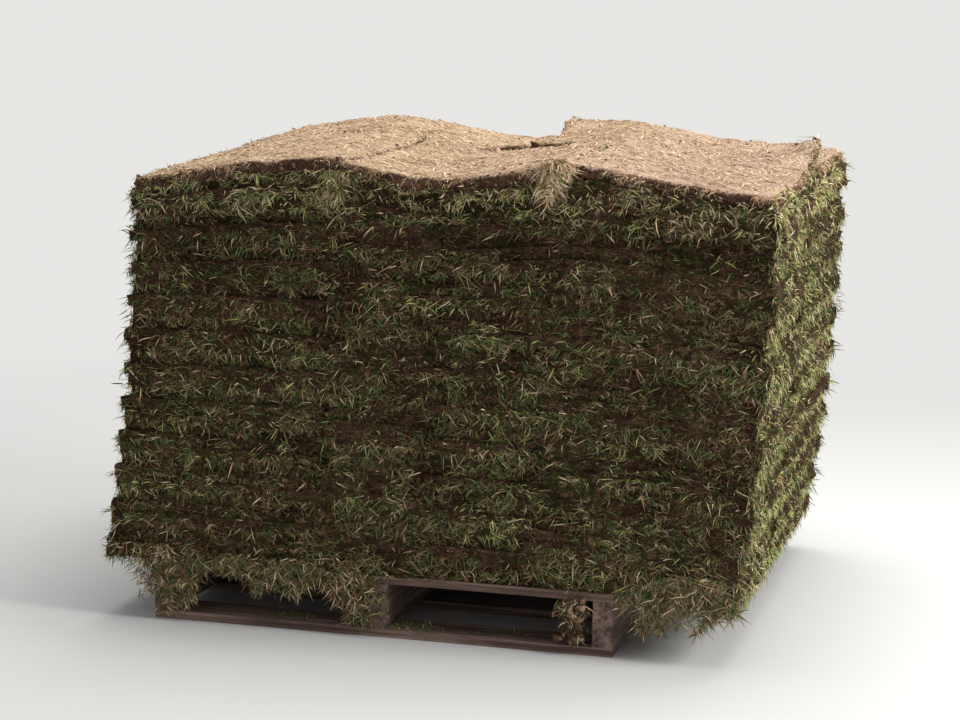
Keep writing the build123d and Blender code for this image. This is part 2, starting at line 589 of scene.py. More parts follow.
def copy_of_layer(name, new_name):
    """A merged copy of a CAD layer, as an object of its own."""
    piece = new_object(new_name, nodes[name].data.copy())
    piece.data.name = new_name
    edit(piece)
    bpy.ops.mesh.remove_doubles(threshold=0.02 * millimetre)
    bpy.ops.mesh.tris_convert_to_quads(face_threshold=radians(8), shape_threshold=radians(60))
    bpy.ops.object.mode_set(mode="OBJECT")
    return piece


layer_copies = {name: copy_of_layer(name, name.replace("layer", "mat")) for name in layer_names}
first_copy = layer_copies[layer_names[0]]
print("copied", len(layer_copies), "layers, the first with", triangles(first_copy), "triangles")

# %% [markdown]
# Blades hang from the lower rim of every slab, so those edges are kept before the mesh is
# cut finer: each is stored as its two ends, the way it faces and its layer's number.


# %% The lower rims
def lower_rim(piece, number, low, high):
    """The outer lower edges of a layer's slabs, as (end, end, outward, layer number)."""
    mesh = bmesh.new()
    mesh.from_mesh(piece.data)
    mesh.normal_update()
    found = []
    for edge in mesh.edges:
        flat = [face for face in edge.link_faces if abs(face.normal.z) > flat_from]
        sides = [face for face in edge.link_faces if abs(face.normal.z) < upright_below]
        if len(flat) != 1 or len(sides) != 1:
            continue
        a, b = (vertex.co.copy() for vertex in edge.verts)
        if flat[0].calc_center_median().z < sides[0].calc_center_median().z or flat[0].normal.z < 0:
            if near_outline((a + b) / 2, low, high):
                found.append((a, b, sides[0].normal.copy(), number))
    mesh.free()
    return found


rims = []
for number, name in enumerate(layer_names):
    rims += lower_rim(layer_copies[name], number, *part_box(name))
rim_length = sum((b - a).length for a, b, _, _ in rims)
print(len(rims), "lower edges,", round(rim_length, 1), "m in all")

# %% [markdown]
# Now the rim is cut finer. In edit mode the long edges of the side faces are halved again
# and again until all are short, and then the upright edges are cut in three, which gives
# rows of small faces that can be roughened.


# %% Cut the rims finer
def select_edges(piece, wanted):
    """In edit mode, selects the edges for which wanted(edge) is true. Returns how many."""
    mesh = bmesh.from_edit_mesh(piece.data)
    mesh.normal_update()
    found = [edge for edge in mesh.edges if wanted(edge)]
    for edge in mesh.edges:
        edge.select_set(False)
    for edge in found:
        edge.select_set(True)
    bmesh.update_edit_mesh(piece.data)
    return len(found)


def upright(edge):
    """True if an edge stands more than it lies."""
    run = edge.verts[0].co - edge.verts[1].co
    return abs(run.z) > 0.7 * run.length


def cut_rim_finer(piece, low, high):
    """Cuts the outer side faces of a layer into small ones."""

    def on_side(edge):
        near = near_outline((edge.verts[0].co + edge.verts[1].co) / 2, low, high)
        return near and any(abs(face.normal.z) < upright_below for face in edge.link_faces)

    def long_and_level(edge):
        return on_side(edge) and not upright(edge) and edge.calc_length() > 1.5 * rim_step

    edit(piece, "EDGE")
    while select_edges(piece, long_and_level):
        bpy.ops.mesh.subdivide(number_cuts=1)
    select_edges(piece, lambda edge: on_side(edge) and upright(edge))
    bpy.ops.mesh.subdivide(number_cuts=rim_rows - 1)
    bpy.ops.object.mode_set(mode="OBJECT")


# %% [markdown]
# A cutter leaves a crumbly edge. The rim's points move out or in by a sum of three noises,
# from broad bulges to crumbs. They move level only, so that no slab lifts off the next, and
# the noise runs on from one slab to the next, as a bulge in a real stack does. Each noise is
# given by the size of its bumps in metres, its depth in millimetres and a seed.

# %% Roughen the rims
rim_noises = ((0.050, 9.0, 0.0), (0.018, 9.0, 0.0), (0.009, 5.0, 0.0))
rim_set_back = 2.5


def rough(x, y, z, noises):
    """A sum of smooth noises at a place, in millimetres."""
    return sum(
        depth * noise.noise(Vector((x / size + seed, y / size - seed, z / size)))
        for size, depth, seed in noises
    )


def roughen_rim(piece, low, high):
    """Moves the outer rim of a layer out and in, by level pushes only."""
    for vertex in piece.data.vertices:
        gap, way = nearest_side(vertex.co, low, high)
        if gap < rim_reach:
            push = rough(*vertex.co, rim_noises) - rim_set_back
            vertex.co += push * millimetre * Vector(way)


top_name = layer_names[-1]
for name in layer_names[:-1]:
    low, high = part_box(name)
    cut_rim_finer(layer_copies[name], low, high)
    roughen_rim(layer_copies[name], low, high)
    finish_piece(layer_copies[name], "turf", matted_wall, name)
mat_triangles = sum(triangles(layer_copies[name]) for name in layer_names[:-1])
print("mats under the top one:", mat_triangles, "triangles")

# %% [markdown]
# ## The top slabs
#
# These five show all their upper faces, so they are modelled anew over the CAD ones. Each starts as a grid
# of its slab's size that is dropped on to the CAD surface. Solidify gives it the slab's thickness, and
# moves in code do what drying does: the surface heaves, and the rim crumbles and rolls down.

# %% The CAD's top slabs
cell = 9 * millimetre
slab_thickness = 22.3 * millimetre
edge_reach = 22 * millimetre
inset = 1 * millimetre
high_above = 2.0


def separate_slabs(piece):
    """Splits a layer into its slabs, each an object of its own."""
    edit(piece)
    bpy.ops.mesh.separate(type="LOOSE")
    bpy.ops.object.mode_set(mode="OBJECT")
    return list(bpy.context.selected_objects)


def corners_of(piece):
    """The lowest and highest corner of a mesh."""
    places = np.array([v.co for v in piece.data.vertices])
    return Vector(places.min(0)), Vector(places.max(0))


def surface_finder(piece):
    """A function that gives the height of a piece's upper face at a place."""
    select_only(piece)
    tree = BVHTree.FromObject(piece, bpy.context.evaluated_depsgraph_get())

    def height(x, y):
        hit = tree.ray_cast(Vector((x, y, high_above)), Vector((0, 0, -1)))[0]
        return None if hit is None else hit.z

    return height


# %% [markdown]
# Each point of a grid looks for the CAD surface under it, a little inside the outline,
# because a ray that runs along the very edge can miss. The CAD surface has long facets, so
# the grid's heights are smoothed before it gets its thickness.


# %% Grids over the top slabs
def grid_over(slab, number):
    """A grid of the slab's outline, dropped on to its upper face."""
    low, high = corners_of(slab)
    size = high - low
    bpy.ops.object.select_all(action="DESELECT")
    bpy.ops.mesh.primitive_grid_add(
        x_subdivisions=round(size.x / cell), y_subdivisions=round(size.y / cell), size=1
    )
    grid = bpy.context.object
    grid.name = f"top_slab_{number}"
    height = surface_finder(slab)
    for vertex in grid.data.vertices:
        x = low.x + (vertex.co.x + 0.5) * size.x
        y = low.y + (vertex.co.y + 0.5) * size.y
        inner_x = min(max(x, low.x + inset), high.x - inset)
        inner_y = min(max(y, low.y + inset), high.y - inset)
        vertex.co = (x, y, height(inner_x, inner_y))
    return grid, low, high


def apply_modifier(piece, kind, **settings):
    """Adds a modifier with its settings and applies it."""
    select_only(piece)
    modifier = piece.modifiers.new(kind.lower(), kind)
    for name, value in settings.items():
        setattr(modifier, name, value)
    bpy.ops.object.modifier_apply(modifier=modifier.name)


def thicken(grid):
    """Takes the facets of the CAD surface out of a grid, without a change of its outline, and
    gives it the slab's thickness, with a rim of three rows."""
    apply_modifier(grid, "SMOOTH", iterations=12, factor=0.5, use_x=False, use_y=False)
    apply_modifier(grid, "SOLIDIFY", thickness=slab_thickness, offset=-1)
    edit(grid, "EDGE")
    select_edges(grid, lambda edge: upright(edge) and edge.calc_length() > 0.6 * slab_thickness)
    bpy.ops.mesh.subdivide(number_cuts=2)
    bpy.ops.object.mode_set(mode="OBJECT")


# %% [markdown]
# Weathering moves every point: the whole surface heaves by three noises, and near the rim it
# rolls down and is torn by two more.


# %% Weather the top slabs
heave_noises = ((0.060, 4.4, 0.0), (0.026, 3.2, 5.0), (0.015, 2.4, 9.0))
torn_noises = ((0.05, 7.0, 3.0), (0.018, 7.0, 7.0))
torn_set_back, roll_depth = 1.0, 4.0


def weather(grid, low, high):
    """Heaves the upper face, and makes the rim ragged and rolled down."""
    middle = (low + high) / 2
    for vertex in grid.data.vertices:
        x, y, z = vertex.co
        near_side = max(0.0, 1 - min(x - low.x, high.x - x) / edge_reach)
        near_end = max(0.0, 1 - min(y - low.y, high.y - y) / edge_reach)
        torn = rough(x, y, z, torn_noises) - torn_set_back
        rolled = roll_depth * max(near_side, near_end) ** 2
        vertex.co.z += (rough(x, y, 0, heave_noises) - rolled) * millimetre
        vertex.co.x += torn * near_side * millimetre * (1 if x > middle.x else -1)
        vertex.co.y += torn * near_end * millimetre * (1 if y > middle.y else -1)


top_slabs, slab_boxes = [], []
for number, slab in enumerate(separate_slabs(layer_copies.pop(top_name)), start=1):
    grid, low, high = grid_over(slab, number)
    thicken(grid)
    weather(grid, low, high)
    bpy.data.objects.remove(slab)
    top_slabs.append(grid)
    slab_boxes.append((low, high))
    print(grid.name, "is", round(high.x - low.x, 3), "by", round(high.y - low.y, 3), "m")

# %% [markdown]
# The five are joined into one piece that stands for the top layer.

# %% Join the top slabs
bpy.ops.object.select_all(action="DESELECT")
for slab in top_slabs:
    slab.select_set(True)
bpy.context.view_layer.objects.active = top_slabs[0]
bpy.ops.object.join()
top_mat = bpy.context.object
top_mat.name = top_mat.data.name = top_name.replace("layer", "mat")
for face in top_mat.data.polygons:
    face.use_smooth = True
finish_piece(top_mat, "turf", turf_earth, top_name)
print(top_mat.name, "has", triangles(top_mat), "triangles")

# %% [markdown]
# ## Strands
#
# A blade or a root is a narrow strip along a bent line: a few cross-sections and a tip. All
# strands of one side are built together as arrays, which is quick, and make one mesh. The
# same arrays fill the UV map that the material reads.

# %% Meshes with a tone for each shape
tone_width = 0.012


def toned_mesh(name, places, faces, tones, u_shares, v_values):
    """One smooth mesh of many like shapes. The UV map gets each shape's tone in its U, and
    u_shares and v_values say how U and V change over the points of a shape."""
    mesh = bpy.data.meshes.new(name)
    mesh.from_pydata(places.reshape(-1, 3).tolist(), [], faces)
    u = tones[:, None] + tone_width * u_shares[None]
    uv = np.stack([u, np.broadcast_to(v_values, u.shape)], 2).reshape(-1, 2)
    corner_vertex = np.empty(len(mesh.loops), np.int32)
    mesh.loops.foreach_get("vertex_index", corner_vertex)
    layer = mesh.uv_layers.new(name=strand_map)
    layer.uv.foreach_set("vector", uv[corner_vertex].astype(np.float32).ravel())
    mesh.polygons.foreach_set("use_smooth", np.ones(len(mesh.polygons), bool))
    return mesh


def strand_mesh(name, lines, across, half_widths, tones):
    """One mesh of strips. lines has each strand's points, from its root to its tip, across
    the way it is wide, half_widths the half width at each point but the tip."""
    count, points = lines.shape[:2]
    rings = points - 1
    offset = across[:, None, :] * half_widths[:, :, None]
    left_edge, right_edge = lines[:, :-1] - offset, lines[:, :-1] + offset
    pairs = np.stack([left_edge, right_edge], 2).reshape(count, 2 * rings, 3)
    places = np.concatenate([pairs, lines[:, -1:]], 1)
    base = np.arange(count)[:, None, None] * (2 * rings + 1)
    step = 2 * np.arange(rings - 1)[None, :, None]
    quads = (base + step + np.array([0, 1, 3, 2])).reshape(-1, 4)
    tips = (base + 2 * (rings - 1) + np.array([0, 1, 2])).reshape(-1, 3)
    along = np.linspace(0.02, 0.98, points)
    v_values = np.concatenate([np.repeat(along[:-1], 2), along[-1:]])
    u_shares = np.concatenate([np.tile([0.0, 1.0], rings), [0.5]])
    return toned_mesh(name, places, quads.tolist() + tips.tolist(), tones, u_shares, v_values)


def add_to_turf(name, mesh, material, count, what):
    """Puts a mesh in the scene as a finished piece of the turf."""
    piece = finish_piece(new_object(name, mesh), "turf", material)
    print(name, "has", count, what, "and", triangles(piece), "triangles")


# %% [markdown]
# ## Tufts on the four sides
#
# The grass side of a slab is its underside, so its grass comes out of the joint below it,
# squeezed flat by the weight above. It doesn't stand evenly like fur: it comes in tufts, each
# leaning its own way, with bare earth between. So a tuft is placed first, on a lower rim,
# and its blades share its lean, its length and its colour, give or take a little.

# %% Places on the rims
rng = np.random.default_rng(11)
top_layer = len(layer_names) - 1
rim_a = np.array([a for a, _, _, _ in rims])
rim_b = np.array([b for _, b, _, _ in rims])
rim_out = np.array([out for _, _, out, _ in rims])
rim_layer = np.array([number for _, _, _, number in rims])
rim_ends, end_layer = np.concatenate([rim_a, rim_b]), np.tile(rim_layer, 2)
layer_low = np.array([rim_ends[end_layer == layer].min(0) for layer in range(len(layer_names))])
layer_high = np.array([rim_ends[end_layer == layer].max(0) for layer in range(len(layer_names))])
up, down = np.array([0.0, 0.0, 1.0]), np.array([0.0, 0.0, -1.0])
front, back = np.array([0.0, -1.0, 0.0]), np.array([0.0, 1.0, 0.0])
left, right = np.array([-1.0, 0.0, 0.0]), np.array([1.0, 0.0, 0.0])
all_sides = (front, back, left, right)


def unit(vectors):
    """Vectors made one long."""
    return vectors / np.maximum(np.linalg.norm(vectors, axis=-1, keepdims=True), 1e-9)


def faces_side(out, side):
    """Which of some outward directions face one side."""
    return out @ side > 0.7


def rim_places(side, count, lowest_layer=0):
    """Places on the lower rims that face one side, with the way out and the layer."""
    facing = np.flatnonzero(faces_side(rim_out, side) & (rim_layer >= lowest_layer))
    lengths = np.linalg.norm(rim_b[facing] - rim_a[facing], axis=1)
    chosen = rng.choice(facing, count, p=lengths / lengths.sum())
    share = rng.random((count, 1))
    places = rim_a[chosen] * (1 - share) + rim_b[chosen] * share
    return places, rim_out[chosen], rim_layer[chosen]


for side_name, side in (("front", front), ("back", back), ("left", left), ("right", right)):
    print("lower edges that face the", side_name + ":", faces_side(rim_out, side).sum())


# %% [markdown]
# Two helpers shape what grows there. A blade's root is never past the corner of its slab, or
# it would hang in the air, and a noise stretched along the layers makes fresh and dead bands.


# %% Keep to the layer, and bands
def held(places, layers):
    """Places moved level on to their layer, where they would be past its corners."""
    kept_in = np.clip(places, layer_low[layers], layer_high[layers])
    return np.column_stack([kept_in[:, :2], places[:, 2]])


def banded_noise(places, length, height, seed):
    """Smooth noise that is stretched along the layers, between about -1 and 1."""
    scale = np.array([1 / length, 1 / length, 1 / height])
    return np.array([noise.noise(Vector(p * scale) + Vector((seed, 0, 0))) for p in places])


# %% [markdown]
# Tufts come and go by two noises, each given by its share, its length along the layers, its
# height and a seed. Some patches of the front are bare, and the cut earth shows there. Each
# is given by its middle, across and down from the top of the front, by how far it reaches
# and by how bare it is.

# %% Bare patches and tufts
crest_over_front = 74 * millimetre
front_top = cad_high.z - crest_over_front
mean_cover, least_cover = 0.72, 0.06
cover_noises = ((1.0, 0.12, 0.035, 3.0), (0.6, 0.04, 0.02, 8.0))
bare_patches = [
    (0.22, 0.120, 0.43, 0.020, 0.93),
    (-0.42, 0.205, 0.09, 0.022, 0.85),
    (-0.50, 0.150, 0.05, 0.030, 0.7),
    (0.53, 0.170, 0.07, 0.045, 0.7),
    (0.34, 0.590, 0.14, 0.022, 0.7),
    (-0.10, 0.480, 0.12, 0.016, 0.6),
    (0.10, 0.330, 0.16, 0.014, 0.6),
]


def bareness(places, out):
    """How bare the front is at each place, from 0 to 1."""
    bare = np.zeros(len(places))
    for across, below, half_width, half_height, share in bare_patches:
        far = ((places[:, 0] - across) / half_width) ** 2
        far += ((front_top - below - places[:, 2]) / half_height) ** 2
        bare = np.maximum(bare, share * np.clip(1.7 - far, 0, 1))
    return bare * faces_side(out, front)


def place_tufts(side, count, gaps):
    """Places for tufts on one side, thinned out by noise and by the bare patches."""
    places, out, layers = rim_places(side, 3 * count)
    cover = mean_cover
    for share, *bands in cover_noises:
        cover = cover + share * gaps * banded_noise(places, *bands)
    cover = np.clip(cover, least_cover, 1) * (1 - bareness(places, out))
    kept = np.flatnonzero(rng.random(3 * count) < cover)[:count]
    return places[kept], out[kept], layers[kept]


# %% [markdown]
# A slab has its own health: some are green all over and some are half dead. Freshness is worked out from
# the slab and from a slow noise, with more of it in the upper slabs as painted sunlight, which makes their
# blades greener and brighter, and then each blade draws its tone. On the scale of the ramp the low tones
# are dead and brown, those near 0.35 are straw and the high ones are green. In the sunlit fringe some
# blades get the pale straw and bright tones, also painted sunlight.

# %% Freshness and tones
sunlit_depth, sunlit_fade = 95 * millimetre, 30 * millimetre
block_width = 0.41
# The fringe's share of bright tones is painted sunlight.
sun_painted_share, sun_painted_tones = 0.32, [0.36, 0.38, 0.97]
tone_ranges = ((0.0, 0.22), (0.24, 0.18), (0.45, 0.12), (0.61, 0.22), (0.84, 0.14))


def sunlit_at(places):
    """1 in the upper fringe, which gets the sun, and 0 below it."""
    return np.clip((places[:, 2] - front_top) / sunlit_fade + sunlit_depth / sunlit_fade, 0, 1)


def freshness_at(places, layers, side_freshness):
    """How fresh the grass is at each place, from 0 to 1, raised in the sunlit fringe as painted sunlight.
    The last digits of a large sine are as good as random, so they give each slab a share of its own."""
    block = np.floor((places[:, 0] + places[:, 1]) / block_width)
    slab_share = np.sin(12.9 * layers + 78.2 * block) * 43758.5
    slab_share = slab_share - np.floor(slab_share)
    fresh = side_freshness + 0.40 * (slab_share - 0.5) + 0.75 * banded_noise(places, 0.15, 0.05, 3.0)
    return np.clip(fresh + 0.40 * sunlit_at(places), 0.02, 0.98)


def draw_tones(fresh):
    """A tone for each freshness. It is dead, straw, olive, green or bright by the luck of the
    draw, and lies in that kind's range, which is given by its lowest tone and its width."""
    draw, spread = rng.random(len(fresh)), rng.random(len(fresh))
    dead = 0.38 * (1 - fresh)
    straw = dead + 0.12 + 0.06 * fresh
    kind = (draw >= np.stack([dead, straw, straw + 0.16, 0.97 - 0.45 * fresh**3])).sum(0)
    lowest, width = np.array(tone_ranges).T
    return lowest[kind] + width[kind] * spread


print("the sun reaches down to", round(front_top - sunlit_depth, 3), "m")


# %% [markdown]
# A blade is a curve in two steps: it starts out in its tuft's direction, and it bends away
# by the square of the way along, down by its weight and to a side by its own curl. The
# blade's flat side faces the viewer, turned a little at random.


# %% The curve of a blade
tuft_spread = 11 * millimetre
root_depth = 3 * millimetre
grown_over = 0.95
own_sway, curl_spread, twist_spread = 0.4, 0.35, 0.8
most_droop = 0.6


def curved_lines(roots, start, bend, length, points):
    """The points of strands from their roots, their first direction and their bend."""
    share = np.linspace(0, 1, points)[None, :, None]
    return roots[:, None] + length[:, None, None] * (share * start[:, None] + share**2 * bend[:, None])


def flat_to(lines, out, twist):
    """The way each strand is wide: along the wall, turned about its own line."""
    run = unit(lines[:, -1] - lines[:, 0])
    across = unit(np.cross(out, run))
    turned = np.cross(run, across)
    return unit(across * np.cos(twist)[:, None] + turned * np.sin(twist)[:, None])


# %% [markdown]
# All blades of a piece are drawn at once, as arrays. What the blades of a tuft share is drawn
# for each tuft and repeated, and then each blade gets a little of its own.


# %% Blades of many tufts
def tuft_blades(tufts, each, lean, length_range, width_range, points, side_freshness, top_share):
    """Lines, widths and tones for tufts of blades. lean has the spread of the sway, and the
    lowest and highest push outwards and drop. top_share is how far up the cut edge of the
    top slabs the blades grow."""
    places, out, layers = (np.repeat(part, each, axis=0) for part in tufts)
    count, tuft_count = len(places), len(tufts[0])
    spread_sway, push_range, drop_range = lean

    def of_tuft(low, high, own):
        """A value drawn for each tuft, with a little of each blade's own."""
        shared = np.repeat(rng.uniform(low, high, tuft_count), each)
        return shared + own * (high - low) * rng.normal(0, 1, count)

    along = unit(np.cross(down, out))
    uneven = np.clip(top_share + 1.4 * banded_noise(places, 0.06, 0.05, 7.0), 0.1, 1)
    grown_share = np.where(layers == top_layer, uneven, grown_over)
    height = grown_share * slab_thickness * rng.beta(1.0, 1.6, count)
    roots = places - height[:, None] * down - out * root_depth
    roots = held(roots + along * (tuft_spread * rng.normal(0, 1, (count, 1))), layers)
    push = np.clip(of_tuft(*push_range, 0.25), 0.05, 0.9)
    drop = of_tuft(*drop_range, 0.25)
    sway = np.repeat(rng.normal(0, spread_sway, tuft_count), each)
    sway = sway + rng.normal(0, own_sway, count)
    start = unit(out * push[:, None] + along * sway[:, None] + down * drop[:, None])
    curl, droop = rng.normal(0, curl_spread, count), rng.uniform(0.0, most_droop, count)
    bend = along * curl[:, None] + down * droop[:, None] - out * (0.35 * rng.random((count, 1)))
    shortest, longest = 0.5 * length_range[0] * millimetre, 1.25 * length_range[1] * millimetre
    length = np.clip(of_tuft(*length_range, 0.15) * millimetre, shortest, longest)
    lines = curved_lines(roots, start, bend, length, points)
    fresh = np.repeat(freshness_at(*tufts[::2], side_freshness), each)
    tones = draw_tones(np.clip(fresh + 0.12 * rng.normal(0, 1, count), 0, 1))
    # In the sunlit fringe some blades take pale straw and bright tones: painted sunlight.
    sun_painted = rng.random(count) < sun_painted_share * np.repeat(sunlit_at(tufts[0]), each)
    tones[sun_painted] = rng.choice(sun_painted_tones, sun_painted.sum())
    width = rng.uniform(*width_range, count) * millimetre / 2
    return lines, flat_to(lines, out, rng.normal(0, twist_spread, count)), width, tones


def taper_for(points):
    """How wide a strand is at each of its points but the tip, as one row."""
    return np.interp(np.linspace(0, 1, points)[:-1], [0, 0.35, 0.75, 1], [0.7, 1, 0.8, 0])[None]


def above(lines, limit):
    """Which strands stay above a height."""
    return lines[:, :, 2].min(axis=1) > limit


# %% [markdown]
# The front shows the edge of the pallet's deck between two heavy fringes, so blades are left
# out there if they would hang over it. Blades that would touch the floor or reach too far
# out are left out everywhere.

# %% Blades that fit
clear_deck = (-0.125, 0.345)
deck_edge_top = 112 * millimetre
floor_clearance = 3 * millimetre
farthest_out = 30 * millimetre


def stays_close(lines):
    """Which strands stay within reach of the stack."""
    low, high = np.array(cad_low) - farthest_out, np.array(cad_high) + farthest_out
    return np.all((lines > low) & (lines < high), axis=(1, 2))


def hangs_clear(lines, out):
    """Which strands stay above the floor and off the open part of the deck's edge."""
    tip = lines[:, -1]
    over_deck = faces_side(out, front) & (tip[:, 0] > clear_deck[0]) & (tip[:, 0] < clear_deck[1])
    limit = np.where(over_deck, deck_edge_top + 5 * millimetre * rng.random(len(tip)), floor_clearance)
    return above(lines, limit) & stays_close(lines)


def add_blades(name, tufts, shape, freshness, top_share=0.4, fits=hangs_clear):
    """A piece of the blades of some tufts, without those that don't fit."""
    lines, across, width, tones = tuft_blades(tufts, *shape, freshness, top_share)
    kept = fits(lines, np.repeat(tufts[1], shape[0], axis=0))
    half_widths = width[kept, None] * taper_for(lines.shape[1])
    mesh = strand_mesh(name, lines[kept], across[kept], half_widths, tones[kept])
    add_to_turf(name, mesh, grass_blade, kept.sum(), "blades")


# %% [markdown]
# Each side has its freshness, its share of the tufts and how uneven their cover is; the right side's high
# freshness is painted sunlight, which makes its blades greener and brighter. Each kind has its number of
# tufts, its gaps and the shape of its blades: how many a tuft has, their lean, their lengths and widths in
# millimetres, and their points.

# %% Grass on the four sides
bit_lean = (1.8, (0.03, 0.35), (-0.8, 0.9))
blade_lean = (0.95, (0.08, 0.55), (-0.35, 1.0))
bit_freshness = 0.75
sides = {
    "front": (front, 0.34, 1.0, 1.0),
    "back": (back, 0.44, 1.0, 1.0),
    "left": (left, 0.55, 0.80, 1.0),
    # The right side's freshness of 0.96 is painted sunlight: its blades are drawn greener and brighter.
    "right": (right, 0.96, 0.80, 1.7),
}
kinds = {
    "bits": (11500, 0.30, (5, bit_lean, (6, 19), (1.4, 2.7), 2)),
    "short_blades": (4900, 0.50, (5, blade_lean, (9, 22), (1.3, 2.6), 3)),
    "long_blades": (2100, 0.65, (4, blade_lean, (15, 29), (1.4, 2.7), 4)),
}
for side_name, (side, freshness, share, unevenness) in sides.items():
    for kind, (tuft_count, gaps, shape) in kinds.items():
        tufts = place_tufts(side, round(share * tuft_count), unevenness * gaps)
        kind_freshness = bit_freshness * freshness if kind == "bits" else freshness
        add_blades(f"{kind}_{side_name}", tufts, shape, kind_freshness)

# %% [markdown]
# On the right, the sunny side, the grass of the two upper slabs is long enough to stand up
# over their cut edge and hide it.

# %% Standing grass on the right
standing_shape = (6, (0.9, (0.10, 0.60), (-1.0, 0.5)), (9, 25), (1.3, 2.6), 3)
standing = rim_places(right, 800, top_layer - 1)
# A freshness of 1 gives this grass the brightest greens: painted sunlight.
add_blades("standing_grass_right", standing, standing_shape, 1.0, 1.0, lambda lines, _: stays_close(lines))

# %% [markdown]
# ## Clumps that hang
#
# Here and there a torn flap of turf hangs down: over the pallet's front, and out of the
# notches between the top slabs. A flap is a felt of short blades that lie every way inside
# an outline, most of them dead. Each is given by its middle and half width across the
# front, the heights that it hangs from and reaches down to, how many blades it has, how
# fresh it is and what share of it is bright straw.

# %% Flaps of torn turf
clumps = [
    (-0.555, 0.085, 0.150, 0.006, 1900, 0.04, 0.10),
    (-0.350, 0.150, 0.145, 0.066, 1500, 0.20, 0.10),
    (-0.165, 0.070, 0.150, 0.004, 1200, 0.15, 0.12),
    (0.262, 0.026, 0.108, 0.020, 110, 0.02, 0.25),
    (0.430, 0.080, 0.165, 0.045, 1300, 0.15, 0.10),
    (0.505, 0.070, 0.170, 0.055, 1300, 0.30, 0.10),
    (0.208, 0.030, 0.924, 0.835, 700, 0.62, 0.72),
    (-0.212, 0.034, 0.892, 0.815, 420, 0.85, 0.12),
]
front_plane = -0.512


def flap(middle, half_width, top, bottom, count, fresh, straw_share):
    """Short blades inside a flap that tapers downwards."""
    fall = rng.random(count) ** 1.15
    reach = half_width * (1 - 0.35 * fall**2)
    side = np.clip(rng.normal(0, 0.5, count), -1, 1)
    ragged = 0.80 + 0.20 * np.sin(9 * side + 40 * middle)
    x = middle + reach * side + 0.25 * half_width * np.sin(5 * fall + 60 * middle)
    x = np.clip(x, layer_low[0, 0], layer_high[0, 0])
    z = top - (top - bottom) * fall * (1 - 0.35 * side**2) * ragged
    y = front_plane - rng.uniform(-6, 12, count) * millimetre
    out = np.tile(front, (count, 1))
    push, sway = rng.uniform(0.0, 0.5, (count, 1)), rng.normal(0, 0.9, (count, 1))
    start = unit(out * push + right * sway + down * rng.uniform(-0.1, 1.1, (count, 1)))
    bend = right * rng.normal(0, 0.4, (count, 1)) + down * 0.3 - out * 0.5 * push
    length = rng.uniform(9, 27, count) * millimetre
    lines = curved_lines(np.column_stack([x, y, z]), start, bend, length, 3)
    tones = draw_tones(np.clip(rng.normal(fresh, 0.1, count), 0, 1))
    across = flat_to(lines, out, rng.normal(0, twist_spread, count))
    return lines, across, tones, rng.random(count) < straw_share


# %% [markdown]
# All flaps are one piece of grass and one of bright straw; the straw's tones are kept high, which on the
# tuft in the notch between the top slabs is painted sunlight. Loose strands vary in width more than blades
# do, so each draws its own.


# %% The hanging clumps
def add_strands(name, lines, across, widest, tones, material):
    """A piece of strands of a random width, up to a given half width in millimetres."""
    width = rng.uniform(0.45, 1, (len(lines), 1)) * widest * millimetre
    mesh = strand_mesh(name, lines, across, width * taper_for(lines.shape[1]), tones)
    add_to_turf(name, mesh, material, len(lines), "strands")


parts = [flap(*clump) for clump in clumps]
lines, across, tones, is_straw = (np.concatenate(part) for part in zip(*parts))
over_floor = above(lines, floor_clearance)
grass, straw = over_floor & ~is_straw, over_floor & is_straw
add_strands("hanging_clumps", lines[grass], across[grass], 1.2, tones[grass], grass_blade)
# High tones: bright dead straw, and on the tuft in the notch painted sunlight as well.
straw_and_sun_tones = 0.45 + 0.54 * rng.random(straw.sum())
add_strands("hanging_straw", lines[straw], across[straw], 1.35, straw_and_sun_tones, root_fibre)

# %% [markdown]
# Some blades have dropped on the pallet's front bottom board, in little heaps. Each heap is
# given by its middle, its spread and its number of blades.

# %% Litter on the pallet
litter_heaps = [(-0.300, 0.030, 90), (-0.060, 0.035, 120), (0.120, 0.060, 40)]
litter_front, litter_back = -0.505, -0.455


def fallen_strands(starts, heading, sag):
    """Short strands that lie the way they head, and sag by the square of the way."""
    count = len(starts)
    bend = np.tile(sag * down, (count, 1))
    lines = curved_lines(starts, heading, bend, rng.uniform(8, 22, count) * millimetre, 3)
    return lines, unit(np.cross(heading, up))


_, board_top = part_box("bottom_board_1")
heaps = [
    (rng.normal(middle, spread, count), rng.uniform(litter_front, litter_back, count))
    for middle, spread, count in litter_heaps
]
x, y = (np.concatenate(part) for part in zip(*heaps))
count = len(x)
starts = np.column_stack([x, y, board_top.z + rng.uniform(0.5, 4, count) * millimetre])
heading_x, heading_y = rng.normal(0, 1, count), rng.normal(0, 0.5, count)
heading = unit(np.column_stack([heading_x, heading_y, rng.uniform(0, 0.3, count)]))
lines, across = fallen_strands(starts, heading, 0.15)
lines[:, :, 2] = np.maximum(lines[:, :, 2], board_top.z + 0.4 * millimetre)
add_strands("litter_on_pallet", lines, across, 1.4, 0.84 + 0.14 * rng.random(count), grass_blade)

# %% [markdown]
# ## Crumbs of earth
#
# A cut edge sheds crumbs, and they cling to the wall, fill the upright joints and lie on the
# top. A clod of them has dropped beside the right stringer. A crumb is a lumpy octahedron:
# eight faces are enough at this size. Like the blades they are built as arrays, with their
# tone in the UV map.

